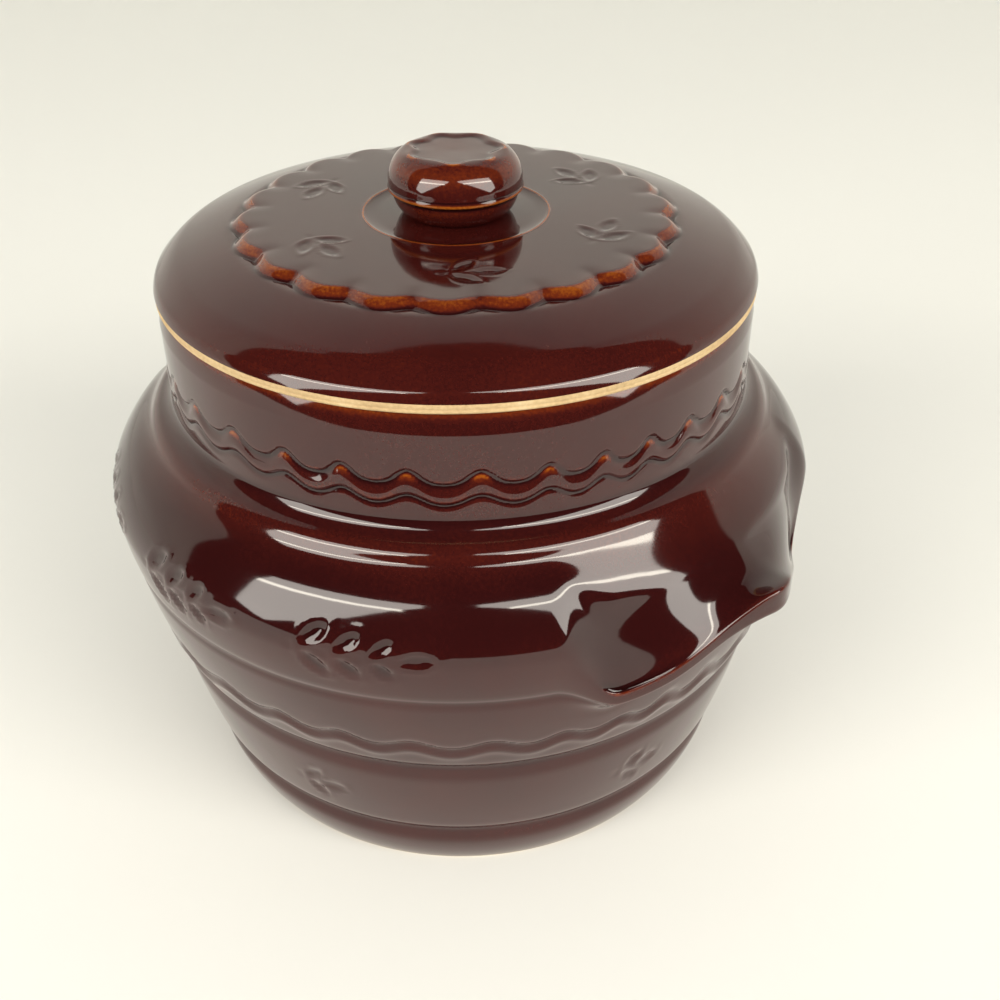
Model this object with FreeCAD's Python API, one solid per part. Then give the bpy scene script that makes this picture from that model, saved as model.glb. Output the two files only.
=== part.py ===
import FreeCAD, Part
import math
import os

# Stoneware bean pot with a loose lid, in millimetres.
# The frame has +Z up, its origin at the centre of the foot's flat underside, and the two lug
# handles on the X axis. The pot and the lid are turned shells. The lugs are pinched tabs luted on
# to the pot's shoulder, and the knob is luted on to the lid.

# Outside of the pot: radii, and heights above the table
foot_radius = 71.6
foot_groove_step = 4.8
foot_groove_height = 15.5
waist_groove_inset = 9.5
waist_groove_height = 46.0
band_line_inset = 2.1
band_line_drop = 12.8
belly_radius = 93.1
belly_height = 87.6
shoulder_inset = 4.8
shoulder_rise = 11.8
neck_step = 2.2
neck_height = 113.0
collar_radius = 74.4
collar_height = 26.0

# How far each band of the belly swells out past a straight line between its grooves
foot_band_swell = 1.0
panel_swell = 0.5
wave_band_swell = 0.7
belly_swell = 0.3

# Rounded bottoms of the turned grooves, and rounded edges
wide_groove_tool_radius = 4.5
wide_groove_depth = 1.3
fine_groove_tool_radius = 1.6
fine_groove_depth = 0.5
neck_fillet = 5.0
foot_edge_fillet = 1.0
rim_inner_fillet = 1.4
lip_height = 5.2
lip_inset = 2.2
lip_swell = 0.6

# Clay thickness of the pot, its floor and its foot
wall = 6.4
floor_thickness = 8.0
floor_corner_radius = 14.0
foot_ring_width = 9.0
foot_recess_depth = 1.8
inner_cone_share = 0.8

# Lug handles: two straight edges leave the belly, rise, and meet at a rounded tip
lug_reach = 9.9
lug_tip_rounding = 5.0
lug_root_inset = 5.1
lug_tip_drop = 2.6
lug_edge_rise = 25.0
lug_tip_thickness = 6.5
lug_end_thickness = 3.0
lug_top_rise = 14.0
lug_top_hollow = 1.0
lug_end_margin = 6.0
lug_section_shares = (1.0, 0.6, 0.25)

# Lid: its own sizes, with heights above the rim that it rests on
lid_bare_edge_height = 2.4
lid_edge_roll_height = 4.6
lid_roll_swell = 1.0
lid_roll_inset = 2.8
lid_dome_height = 8.9
lid_dome_swell = 0.7
medallion_radius = 56.5
medallion_foot_height = 12.9
lid_crown_height = 13.4
medallion_height = 1.6
medallion_scallops = 22
medallion_scallop_depth = 2.6
medallion_edge_fillet = 0.7
lid_thickness = 6.2
lid_eave_slope = 0.6

# Locating flange under the lid, which hangs inside the pot's mouth
flange_clearance = 1.6
flange_depth = 7.5
flange_thickness = 5.0
flange_end_fillet = 1.5

# Knob: radii, and heights above the medallion's flat top
knob_foot_radius = 12.2
knob_ridge_radius = 16.5
knob_ridge_height = 6.5
knob_groove_radius = 16.0
knob_groove_height = 7.2
knob_drum_radius = 16.6
knob_drum_height = 10.6
knob_top_height = 15.3
knob_top_radius = 11.0
knob_dish_depth = 0.8

# How far the knob's outline leans: outwards per unit of height, and the dish's fall per unit inwards
knob_foot_flare = 1.3
knob_drum_flare = 0.3
knob_dish_slope = 0.2

# How near an edge must lie to a given place to count as found there
find_tolerance = 0.01

# Places worked out from the sizes above
rim_height = neck_height + collar_height
mouth_radius = collar_radius - wall
lid_radius = collar_radius
flange_radius = mouth_radius - flange_clearance
medallion_top = rim_height + lid_crown_height + medallion_height
lug_tip_reach = belly_radius + lug_reach
lug_root_radius = belly_radius - lug_root_inset
lug_tip_height = belly_height - lug_tip_drop


def point(radius, height):
    """A point of a turned outline: distance from the axis, and height."""
    return FreeCAD.Vector(radius, 0, height)


def line(start, end):
    return Part.LineSegment(start, end).toShape()


def swelled(start, end, swell):
    """An arc from start to end that stands out by swell at its middle."""
    middle = (start + end) * 0.5
    along = (end - start).normalize()
    outward = FreeCAD.Vector(along.z, 0, -along.x)
    if outward.x < 0:
        outward = outward * -1
    return Part.Arc(start, middle + outward * swell, end).toShape()


def smooth(points, start_way, end_way):
    """A smooth curve through the points, with given directions at its ends."""
    curve = Part.BSplineCurve()
    curve.interpolate(points, InitialTangent=start_way, FinalTangent=end_way)
    return curve.toShape()


def turned(edges):
    """The solid that a closed outline makes when it is turned about the Z axis."""
    face = Part.Face(Part.Wire(edges))
    solid = face.revolve(FreeCAD.Vector(0, 0, 0), FreeCAD.Vector(0, 0, 1), 360)
    return solid.removeSplitter()


def ring_edges(solid, radius, height):
    """The circular edges of a turned solid at one radius and height."""
    found = []
    for edge in solid.Edges:
        curve = edge.Curve
        if not isinstance(curve, Part.Circle):
            continue
        near_radius = abs(curve.Radius - radius) < find_tolerance
        if near_radius and abs(curve.Center.z - height) < find_tolerance:
            found.append(edge)
    return found


def rounded(solid, radius, height, fillet):
    """The solid with its ring edge at this radius and height rounded."""
    return solid.makeFillet(fillet, ring_edges(solid, radius, height))


# Belly outline as points, shared by the outside, the inside and the lugs
foot_edge = point(foot_radius, 0)
foot_groove = point(foot_radius + foot_groove_step, foot_groove_height)
waist_groove = point(belly_radius - waist_groove_inset, waist_groove_height)
belly = point(belly_radius, belly_height)
band_line = belly - point(band_line_inset, band_line_drop)
shoulder = belly + point(-shoulder_inset, shoulder_rise)
neck = point(collar_radius + neck_step, neck_height)


def shoulder_curve(inset):
    """The round of the shoulder, from the upright belly to the cone under the neck."""
    start = belly - FreeCAD.Vector(inset, 0, 0)
    cone_way = (neck - shoulder).normalize()
    end = shoulder + FreeCAD.Vector(-cone_way.z, 0, cone_way.x) * inset
    return smooth([start, end], FreeCAD.Vector(0, 0, 1), cone_way), end


def pot_outside():
    """The pot as if it were solid clay, with its turned grooves and no hollow."""
    round_shoulder, cone_start = shoulder_curve(0)
    collar_foot = point(collar_radius, neck_height + neck_fillet)
    lip_foot = point(collar_radius, rim_height - lip_height)
    rim_edge = point(collar_radius - lip_inset, rim_height)
    edges = [
        line(point(0, 0), foot_edge),
        swelled(foot_edge, foot_groove, foot_band_swell),
        swelled(foot_groove, waist_groove, panel_swell),
        swelled(waist_groove, band_line, wave_band_swell),
        swelled(band_line, belly, belly_swell),
        round_shoulder,
        line(cone_start, neck),
        smooth([neck, collar_foot], (neck - shoulder).normalize(), FreeCAD.Vector(0, 0, 1)),
        line(collar_foot, lip_foot),
        swelled(lip_foot, rim_edge, lip_swell),
        line(rim_edge, point(0, rim_height)),
        line(point(0, rim_height), point(0, 0)),
    ]
    solid = turned(edges)
    for place in (foot_groove, waist_groove):
        tool_centre = place.x + wide_groove_tool_radius - wide_groove_depth
        solid = solid.cut(groove_tool(tool_centre, place.z, wide_groove_tool_radius))
    tool_centre = band_line.x + fine_groove_tool_radius - fine_groove_depth
    solid = solid.cut(groove_tool(tool_centre, band_line.z, fine_groove_tool_radius))
    return rounded(solid, foot_radius, 0, foot_edge_fillet)


def groove_tool(ring_radius, height, tool_radius):
    """A ring of round section that cuts one turned groove."""
    return Part.makeTorus(ring_radius, tool_radius, FreeCAD.Vector(0, 0, height))


def pot_hollow():
    """The space inside the pot: it follows the outside at the wall's thickness."""
    round_shoulder, cone_start = shoulder_curve(wall)
    floor_radius = foot_groove.x - wall - floor_corner_radius
    side_start = point(foot_groove.x - wall, floor_thickness + floor_corner_radius)
    side_middle = waist_groove - FreeCAD.Vector(wall, 0, 0)
    side_end = belly - FreeCAD.Vector(wall, 0, 0)
    corner_share = 1 - math.sqrt(0.5)
    corner_middle = point(
        side_start.x - floor_corner_radius * corner_share,
        floor_thickness + floor_corner_radius * corner_share,
    )
    floor_edge = point(floor_radius, floor_thickness)
    cone_way = (neck - shoulder).normalize()
    neck_inside = point(mouth_radius, neck_height + neck_fillet)
    cone_run = (cone_start.x - mouth_radius) * inner_cone_share
    cone_end = cone_start + cone_way * (cone_run / -cone_way.x)
    edges = [
        line(point(0, floor_thickness), floor_edge),
        Part.Arc(floor_edge, corner_middle, side_start).toShape(),
        smooth([side_start, side_middle, side_end], FreeCAD.Vector(0, 0, 1), FreeCAD.Vector(0, 0, 1)),
        round_shoulder,
        line(cone_start, cone_end),
        smooth([cone_end, neck_inside], cone_way, FreeCAD.Vector(0, 0, 1)),
        line(neck_inside, point(mouth_radius, rim_height)),
        line(point(mouth_radius, rim_height), point(0, rim_height)),
        line(point(0, rim_height), point(0, floor_thickness)),
    ]
    return turned(edges)


def pot_body():
    """The pot's shell: foot ring, ribbed belly, shoulder, collar and rounded rim."""
    shell = pot_outside().cut(pot_hollow())
    recess_radius = foot_radius - foot_ring_width
    shell = shell.cut(Part.makeCylinder(recess_radius, foot_recess_depth))
    return rounded(shell, mouth_radius, rim_height, rim_inner_fillet)


def lug_edge_x(side):
    """How far out the lug's edge is, at a distance to the side of the X axis.

    Two straight lines leave a circle of the root's radius as tangents and meet at the tip, whose
    corner is rounded by a hyperbola.
    """
    half_angle = math.acos(lug_root_radius / lug_tip_reach)
    slope = math.tan(half_angle)
    rounding = lug_tip_rounding * slope
    return lug_tip_reach + rounding - math.hypot(slope * side, rounding)


def lug_half_width():
    """Distance from the X axis to where the lug's straight edges touch the belly."""
    return lug_root_radius * math.sin(math.acos(lug_root_radius / lug_tip_reach))


def lug_section(side, inner_x):
    """The lug's outline in an upright plane at a distance to the side of the X axis."""
    share = 1 - abs(side) / lug_half_width()
    under_height = lug_tip_height - lug_edge_rise * (1 - share)
    thickness = lug_end_thickness + (lug_tip_thickness - lug_end_thickness) * share
    edge_x = lug_edge_x(side)
    edge_round = thickness * 0.5
    top_height = under_height + thickness

    def at(x, z):
        return FreeCAD.Vector(x, side, z)

    top_edge = at(edge_x - edge_round, top_height)
    top_inner = at(inner_x, top_height + lug_top_rise * share)
    top_middle = (top_edge + top_inner) * 0.5 - FreeCAD.Vector(0, 0, lug_top_hollow)
    under_edge = at(edge_x - edge_round, under_height)
    under_inner = at(inner_x, under_height - edge_round)
    edges = [
        line(under_inner, under_edge),
        Part.Arc(under_edge, at(edge_x, under_height + edge_round), top_edge).toShape(),
        Part.Arc(top_edge, top_middle, top_inner).toShape(),
        line(top_inner, under_inner),
    ]
    return Part.Wire(edges)


def lug_handle(direction, outside):
    """One pinched lug, cut back to the pot's outer surface; direction is 1 for +X, -1 for -X."""
    half_width = lug_half_width() - lug_end_margin
    inner_x = math.sqrt(neck.x ** 2 - half_width ** 2)
    sides = [half_width * share for share in lug_section_shares]
    wires = [lug_section(-side, inner_x) for side in sides]
    wires.append(lug_section(0, inner_x))
    wires += [lug_section(side, inner_x) for side in reversed(sides)]
    lug = Part.makeLoft(wires, True, False)
    if direction < 0:
        lug.rotate(FreeCAD.Vector(0, 0, 0), FreeCAD.Vector(0, 0, 1), 180)
    lug = lug.cut(outside)
    return max(lug.Solids, key=lambda piece: piece.Volume)


def lid_outside():
    """The lid as solid clay: bare edge, rolled rim and dome, without its medallion."""
    base = rim_height
    bare_edge = point(lid_radius, base + lid_bare_edge_height)
    roll = point(lid_radius, base + lid_edge_roll_height)
    dome_edge = point(lid_radius - lid_roll_inset, base + lid_dome_height)
    medallion_foot = point(medallion_radius, base + medallion_foot_height)
    crown = point(0, base + lid_crown_height)
    edges = [
        line(point(0, base), point(lid_radius, base)),
        line(point(lid_radius, base), bare_edge),
        line(bare_edge, roll),
        swelled(roll, dome_edge, lid_roll_swell),
        swelled(dome_edge, medallion_foot, lid_dome_swell),
        line(medallion_foot, crown),
        line(crown, point(0, base)),
    ]
    return turned(edges)


def scalloped_plate():
    """The medallion: a round plate whose edge is a ring of equal outward scallops."""
    inner_radius = medallion_radius - medallion_scallop_depth
    half_step = math.pi / medallion_scallops
    edges = []
    for scallop in range(medallion_scallops):
        middle = 2 * half_step * scallop
        corners = [
            FreeCAD.Vector(inner_radius * math.cos(angle), inner_radius * math.sin(angle), 0)
            for angle in (middle - half_step, middle + half_step)
        ]
        crest = FreeCAD.Vector(medallion_radius * math.cos(middle), medallion_radius * math.sin(middle), 0)
        edges.append(Part.Arc(corners[0], crest, corners[1]).toShape())
    plate = Part.Face(Part.Wire(edges)).extrude(FreeCAD.Vector(0, 0, medallion_top - rim_height))
    plate.translate(FreeCAD.Vector(0, 0, rim_height))
    top_edges = [edge for edge in plate.Edges if abs(edge.CenterOfMass.z - medallion_top) < find_tolerance]
    return plate.makeFillet(medallion_edge_fillet, top_edges)


def lid_hollow():
    """The space under the dome, inside the locating flange."""
    inner_radius = flange_radius - flange_thickness
    roof = rim_height + lid_crown_height - lid_thickness
    eave = point(inner_radius, rim_height + lid_dome_height - lid_thickness)
    bottom = rim_height - flange_depth
    edges = [
        line(point(0, bottom), point(inner_radius, bottom)),
        line(point(inner_radius, bottom), eave),
        smooth([eave, point(0, roof)], FreeCAD.Vector(-1, 0, lid_eave_slope), FreeCAD.Vector(-1, 0, 0)),
        line(point(0, roof), point(0, bottom)),
    ]
    return turned(edges)


def lid():
    """The lid: dome with its scalloped medallion, bare seat, and locating flange under it."""
    bottom = FreeCAD.Vector(0, 0, rim_height - flange_depth)
    flange = Part.makeCylinder(flange_radius, flange_depth, bottom)
    flange = rounded(flange, flange_radius, bottom.z, flange_end_fillet)
    shell = lid_outside().fuse(scalloped_plate()).fuse(flange)
    return shell.cut(lid_hollow()).removeSplitter()


def lid_knob():
    """The knob: flared foot, mould line, rounded drum and shallow dished top."""
    base = medallion_top
    foot = point(knob_foot_radius, base)
    ridge = point(knob_ridge_radius, base + knob_ridge_height)
    groove = point(knob_groove_radius, base + knob_groove_height)
    drum = point(knob_drum_radius, base + knob_drum_height)
    top_edge = point(knob_top_radius, base + knob_top_height)
    dish = point(0, base + knob_top_height - knob_dish_depth)
    up = FreeCAD.Vector(0, 0, 1)
    inward = FreeCAD.Vector(-1, 0, 0)
    edges = [
        line(point(0, base), foot),
        smooth([foot, ridge], FreeCAD.Vector(knob_foot_flare, 0, 1), up),
        line(ridge, groove),
        smooth([groove, drum], FreeCAD.Vector(knob_drum_flare, 0, 1), up),
        smooth([drum, top_edge], up, inward),
        smooth([top_edge, dish], FreeCAD.Vector(-1, 0, -knob_dish_slope), inward),
        line(dish, point(0, base)),
    ]
    return turned(edges)


def save(shape, node):
    """Writes one piece to its STEP file and prints what it is."""
    shape.exportStep("parts/" + node + ".step")
    print(node, "solids", len(shape.Solids), "valid", shape.isValid(), "volume cm3", round(shape.Volume / 1000, 2))


os.makedirs("parts", exist_ok=True)
outside = pot_outside()
save(pot_body(), "pot_body")
save(lug_handle(1, outside), "lug_handle_right")
save(lug_handle(-1, outside), "lug_handle_left")
save(lid(), "lid")
save(lid_knob(), "lid_knob")
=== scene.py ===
# %% [markdown]
# # A glazed stoneware bean pot
#
# The pot is a round-bellied crock with two pinched lugs, an upright collar and a loose domed lid.
# It is stoneware under a dark red-brown gloss glaze, which thins to amber wherever it crosses an edge.
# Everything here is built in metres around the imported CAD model, which stays where it is.

# %% Load the frame
import math

import bpy
import numpy as np
from mathutils import Matrix, Vector


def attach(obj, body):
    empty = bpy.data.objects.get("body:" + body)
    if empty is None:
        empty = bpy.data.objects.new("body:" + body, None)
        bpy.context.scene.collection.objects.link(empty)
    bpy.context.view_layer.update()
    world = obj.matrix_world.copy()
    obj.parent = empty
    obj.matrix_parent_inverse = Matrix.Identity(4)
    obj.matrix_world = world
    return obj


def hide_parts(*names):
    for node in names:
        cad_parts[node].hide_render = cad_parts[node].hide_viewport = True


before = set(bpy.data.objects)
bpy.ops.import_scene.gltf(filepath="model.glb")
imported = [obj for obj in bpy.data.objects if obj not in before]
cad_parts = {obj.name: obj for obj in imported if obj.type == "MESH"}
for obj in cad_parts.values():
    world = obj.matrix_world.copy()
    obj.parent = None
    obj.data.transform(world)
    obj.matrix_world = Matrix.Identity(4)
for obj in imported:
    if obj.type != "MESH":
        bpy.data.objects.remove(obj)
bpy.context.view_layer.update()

# %% [markdown]
# ## Camera
#
# The photograph looks down on the pot by about 34 degrees, with one lug to the right and towards us.
# The place, turn and lens were solved from the circles that the pot's rims and grooves make in the
# photograph. The camera comes first, so that every later step can be judged through it.

# %% Camera
MM = 0.001
CAMERA_PLACE = (200.3 * MM, -200.3 * MM, 261.4 * MM)
CAMERA_YAW = math.radians(45.0 - 2.124)
CAMERA_PITCH = math.radians(34.42)
CAMERA_ROLL = math.radians(-0.188)
LENS = 43.2

def aim(place, yaw, pitch, roll):
    """A camera matrix: along +Y, turned left by yaw, down by pitch and rolled about its line of sight."""
    forward = Vector((-math.sin(yaw) * math.cos(pitch), math.cos(yaw) * math.cos(pitch), -math.sin(pitch)))
    level = Vector((math.cos(yaw), math.sin(yaw), 0.0))
    upward = level.cross(forward)
    right = level * math.cos(roll) + upward * math.sin(roll)
    upward = right.cross(forward)
    turn = Matrix((right, upward, -forward)).transposed().to_4x4()
    return Matrix.Translation(place) @ turn

camera = bpy.data.objects.new("camera", bpy.data.cameras.new("camera"))
camera.data.lens = LENS
camera.data.sensor_width = 36.0
camera.data.clip_start = 0.01
camera.matrix_world = aim(CAMERA_PLACE, CAMERA_YAW, CAMERA_PITCH, CAMERA_ROLL)
bpy.context.scene.collection.objects.link(camera)
bpy.context.scene.camera = camera
bpy.context.scene.view_settings.view_transform = "Standard"
print("camera at", [round(v, 4) for v in camera.location])

# %% [markdown]
# ## Sizes
#
# The pot is a stack of turned bands, in millimetres. The foot, grooves, belly, collar and rim are the
# driving sizes of the CAD source, so each band here lies on the solid that it stands for. Only the
# neck and the lip are drawn finer than in the solid.

# %% Sizes of the pot
FOOT_R = 71.6
FOOT_GROOVE = (76.4, 15.5)
WAIST_GROOVE = (83.6, 46.0)
BAND_LINE = (91.0, 74.8)
BELLY = (93.1, 87.6)
SHOULDER = (88.2, 99.2)
CONE = (84.4, 103.0)
NECK_RING = (80.5, 106.7)
NECK_STEP = (77.7, 109.4)
COLLAR_R = 74.4
COLLAR_FOOT_Z = 113.4
LIP_FOOT_Z = 133.9
LIP_INSET = 1.15
RIM_Z = 139.0
WALL = 6.4
FLOOR_Z = 8.0
MOUTH_R = COLLAR_R - WALL
print("belly", 2.0 * BELLY[0], "mm across, rim at", RIM_Z, "mm")

# %% Ways to draw an outline
def straight(start, end, count):
    """Points along a straight run, without its last point: start + t * (end - start)."""
    t = np.linspace(0.0, 1.0, count, endpoint=False)[:, None]
    return np.array(start) + t * (np.array(end) - np.array(start))

def swelled(start, end, swell, count):
    """Points on a shallow arc: the straight run plus a parabola, 4 t (1 - t), that stands out by swell."""
    start = np.array(start, float)
    end = np.array(end, float)
    t = np.linspace(0.0, 1.0, count, endpoint=False)[:, None]
    along = (end - start) / np.linalg.norm(end - start)
    outward = np.array([along[1], -along[0]])
    return start + t * (end - start) + 4.0 * t * (1.0 - t) * swell * outward

def eased(start, start_way, end, end_way, count):
    """Points on a cubic Hermite curve: it leaves start along start_way and reaches end along end_way."""
    start = np.array(start, float)
    end = np.array(end, float)
    reach = np.linalg.norm(end - start)
    t = np.linspace(0.0, 1.0, count, endpoint=False)[:, None]
    first = reach * np.array(start_way) / np.linalg.norm(start_way)
    last = reach * np.array(end_way) / np.linalg.norm(end_way)
    return (
        (2 * t**3 - 3 * t**2 + 1) * start
        + (t**3 - 2 * t**2 + t) * first
        + (3 * t**2 - 2 * t**3) * end
        + (t**3 - t**2) * last
    )

print("outline runs: straight, swelled, eased")

# %% [markdown]
# ## Meshes from arrays
#
# A turned pot is a grid: one way runs up its outline, the other runs round its axis. numpy works out
# all points of the grid at once, and from_pydata takes them over. The columns close on themselves, so
# there is no seam.
#
# Glaze is thin on edges and deep in hollows. The mesh knows where those are, from how it bends, so
# each point stores that as an attribute and the material can read it from any side.

# %% Grid meshes
def smoothstep(low, high, value):
    """0 below low, 1 above high, and 3 t^2 - 2 t^3 between them."""
    t = np.clip((value - low) / (high - low), 0.0, 1.0)
    return t * t * (3.0 - 2.0 * t)

def bend(points):
    """How sharply a grid bends outwards at each point, in 1/mm: positive on edges, negative in hollows.

    Along each way of the grid, the second difference of the points is divided by the squares of the
    steps, and its part along the surface normal is the curvature.
    """
    inside = points[1:-1]
    before = points[:-2]
    after = points[2:]
    left = np.roll(inside, 1, axis=1)
    right = np.roll(inside, -1, axis=1)
    normal = np.cross(right - left, after - before)
    normal /= np.linalg.norm(normal, axis=2, keepdims=True) + 1e-12

    def curve(one, middle, other):
        step_in = np.linalg.norm(middle - one, axis=2, keepdims=True) + 1e-6
        step_out = np.linalg.norm(other - middle, axis=2, keepdims=True) + 1e-6
        turn = (other - middle) / step_out - (middle - one) / step_in
        return 2.0 * (turn / (step_in + step_out) * normal).sum(axis=2)

    total = -curve(before, inside, after) - curve(left, inside, right)
    return np.concatenate([total[:1], total, total[-1:]])

EDGE_BENDS = (0.1, 0.9)
HOLLOW_BENDS = (0.05, 0.6)

def glaze_depth(points, thin=1.0, rounds=2):
    """0 where the glaze runs thin over an edge, 0.5 on open walls, 1 where it pools in a hollow.

    thin says how much of the thinning shows, as a number or as one number for each point.
    """
    sharp = bend(points)
    for _ in range(rounds):
        sharp = (np.roll(sharp, 1, axis=1) + 2.0 * sharp + np.roll(sharp, -1, axis=1)) / 4.0
        sharp[1:-1] = (sharp[:-2] + 2.0 * sharp[1:-1] + sharp[2:]) / 4.0
    return 0.5 - 0.5 * thin * smoothstep(*EDGE_BENDS, sharp) + 0.5 * smoothstep(*HOLLOW_BENDS, -sharp)

def grid_object(name, points, depth=None, close_last=False):
    """A closed-round mesh from a grid of points in millimetres, shape (rows, columns, 3).

    Row 0 comes first along the outline, with the outside on the right of its way, so that faces
    point outwards. close_last fills the last row with a fan to its middle.
    """
    rows, columns, _ = points.shape
    index = np.arange(rows * columns).reshape(rows, columns)
    across = np.roll(index, -1, axis=1)
    quads = np.stack([index[:-1], across[:-1], across[1:], index[1:]], axis=-1).reshape(-1, 4)
    faces = quads.tolist()
    flat = points.reshape(-1, 3)
    if close_last:
        flat = np.vstack([flat, points[-1].mean(axis=0)])
        fan = np.stack([index[-1], across[-1], np.full(columns, rows * columns)], axis=-1)
        faces += fan.tolist()
    mesh = bpy.data.meshes.new(name)
    mesh.from_pydata((flat * MM).tolist(), [], faces)
    mesh.shade_smooth()
    if depth is not None:
        values = depth.reshape(-1)
        if close_last:
            values = np.append(values, depth[-1].mean())
        layer = mesh.attributes.new("glaze_depth", "FLOAT", "POINT")
        layer.data.foreach_set("value", values.astype(np.float32))
    piece = bpy.data.objects.new(name, mesh)
    bpy.context.scene.collection.objects.link(piece)
    print(name, "quads", len(quads), "size mm", np.round(np.ptp(flat, axis=0), 1))
    return piece

def turn(outline, columns):
    """The angles round the axis, and the outline's radius and height as arrays of (rows, columns)."""
    angle = np.linspace(0.0, 2.0 * np.pi, columns, endpoint=False)[None, :]
    radius = np.repeat(outline[:, 0:1], columns, axis=1)
    height = np.repeat(outline[:, 1:2], columns, axis=1)
    return angle, radius, height

def to_points(angle, radius, height):
    """Cylinder coordinates to a grid of points."""
    return np.stack([radius * np.cos(angle), radius * np.sin(angle), height + 0.0 * angle], axis=-1)

def away(angle, middle):
    """The signed angle from middle, in degrees, between -180 and 180."""
    return (np.degrees(angle) - middle + 180.0) % 360.0 - 180.0

print("mesh tools: bend, glaze_depth, grid_object, turn")

# %% [markdown]
# ## The pot's outline and relief
#
# The outline runs up the outside from the foot to the rim. Points lie close together where the relief
# is fine, on the collar and near the grooves, and further apart on the plain bands. The last number
# of each run is its count of points, and a swelled run's number before it is its swell.

# %% Outline of the glazed outside
SHOULDER_WAY = (-0.6, 0.8)
CONE_WAY = (-0.79, 0.61)
RING_WAY = (-0.47, 0.88)
STEP_WAY = (-0.94, 0.34)
GLAZE_START = (FOOT_R - 0.15, 0.2)

outside = np.vstack([
    swelled(GLAZE_START, FOOT_GROOVE, 0.9, 14),
    swelled(FOOT_GROOVE, WAIST_GROOVE, 0.5, 22),
    swelled(WAIST_GROOVE, BAND_LINE, 0.7, 30),
    swelled(BAND_LINE, BELLY, 0.3, 12),
    eased(BELLY, (0.0, 1.0), SHOULDER, SHOULDER_WAY, 13),
    eased(SHOULDER, SHOULDER_WAY, CONE, CONE_WAY, 8),
    eased(CONE, CONE_WAY, NECK_RING, RING_WAY, 10),
    eased(NECK_RING, RING_WAY, NECK_STEP, STEP_WAY, 10),
    eased(NECK_STEP, STEP_WAY, (COLLAR_R, COLLAR_FOOT_Z), (0.0, 1.0), 12),
    straight((COLLAR_R, COLLAR_FOOT_Z), (COLLAR_R, LIP_FOOT_Z), 50),
    swelled((COLLAR_R, LIP_FOOT_Z), (COLLAR_R - LIP_INSET, RIM_Z), 0.15, 10),
    [[COLLAR_R - LIP_INSET, RIM_Z]],
])
print("outline points", len(outside))

# %% [markdown]
# The turned grooves and the pressed waves are small moves of the surface in or out. A groove is a
# smooth dip, exp(-(distance / width)^2), along a level or wavy line. The collar's waves are steps.

# %% Grooves and waves
def dip(distance, width):
    """A smooth dip or ridge: exp(-(distance / width)^2)."""
    return np.exp(-(distance / width) ** 2)

def wavy(angle, count, crest_share, wander):
    """A hand-pressed wave between -1 and 1 whose crests are narrower than its troughs.

    Its phase wanders slowly round the pot, so that the waves are not all of one width.
    """
    phase = count * angle + wander * np.sin(3.0 * angle + 0.6) + 0.5 * wander * np.sin(7.0 * angle + 2.1)
    wave = np.cos(phase)
    return wave + crest_share * (wave * wave - 1.0) * 0.5

GROOVE_DEPTH = 1.3
GROOVE_WIDTH = 2.2
LINE_DEPTH = 0.45
LINE_WIDTH = 1.0
COLLAR_WAVES = 33
COLLAR_WANDER = 0.9
UPPER_WAVE_Z = 123.9
UPPER_WAVE_RISE = 1.75
UPPER_CREST_SHARE = 0.7
UPPER_STEP = (2.8, 0.62)
LOWER_WAVE_Z = 118.3
LOWER_WAVE_RISE = 1.2
LOWER_CREST_SHARE = 0.3
LOWER_STEP = (1.8, 0.5)
RIBBON_SWELL = 0.25
RIBBON_WIDTH = 1.3
BELLY_WAVES = 33
BELLY_WANDER = 1.2
BELLY_CREST_SHARE = 0.2
BELLY_WAVE_Z = 57.4
BELLY_WAVE_RISE = 1.3
BELLY_WAVE_DEPTH = 0.55
BELLY_RIDGE_SWELL = 0.35
BELLY_RIDGE_DROP = 2.4

def pressed_step(below, height, depth):
    """A pressed groove: a steep wall on top, then a long slope that faces up and runs out to the surface.

    below is the distance under the groove's upper edge, in millimetres.
    """
    wall = smoothstep(-0.3, 0.25, below)
    slope = np.clip((height - below) / (0.8 * height), 0.0, 1.0)
    return -depth * wall * slope

def collar_wave(angle):
    """The upper wave of the collar, between -1 and 1."""
    return wavy(angle, COLLAR_WAVES, UPPER_CREST_SHARE, COLLAR_WANDER)

def groove_relief(angle, height):
    """Millimetres to move the outside outwards for the level grooves and the wavy lines."""
    relief = -GROOVE_DEPTH * dip(height - FOOT_GROOVE[1], GROOVE_WIDTH)
    relief = relief - GROOVE_DEPTH * dip(height - WAIST_GROOVE[1], GROOVE_WIDTH)
    relief = relief - LINE_DEPTH * dip(height - BAND_LINE[1], LINE_WIDTH)
    on_collar = height > COLLAR_FOOT_Z - 1.0
    strength = 0.85 + 0.15 * np.sin(5.0 * angle + 0.8)
    upper = UPPER_WAVE_Z + UPPER_WAVE_RISE * collar_wave(angle)
    lower = LOWER_WAVE_Z + LOWER_WAVE_RISE * wavy(angle, COLLAR_WAVES, LOWER_CREST_SHARE, COLLAR_WANDER)
    steps = pressed_step(upper - height, *UPPER_STEP) + pressed_step(lower - height, *LOWER_STEP)
    ribbon = RIBBON_SWELL * dip(height - 0.5 * (upper + lower) + 1.2, RIBBON_WIDTH)
    relief = relief + on_collar * strength * (steps + ribbon)
    middle = BELLY_WAVE_Z + BELLY_WAVE_RISE * wavy(angle, BELLY_WAVES, BELLY_CREST_SHARE, BELLY_WANDER)
    relief = relief - BELLY_WAVE_DEPTH * dip(height - middle, 1.2)
    return relief + BELLY_RIDGE_SWELL * dip(height - middle + BELLY_RIDGE_DROP, 1.4)

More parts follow.
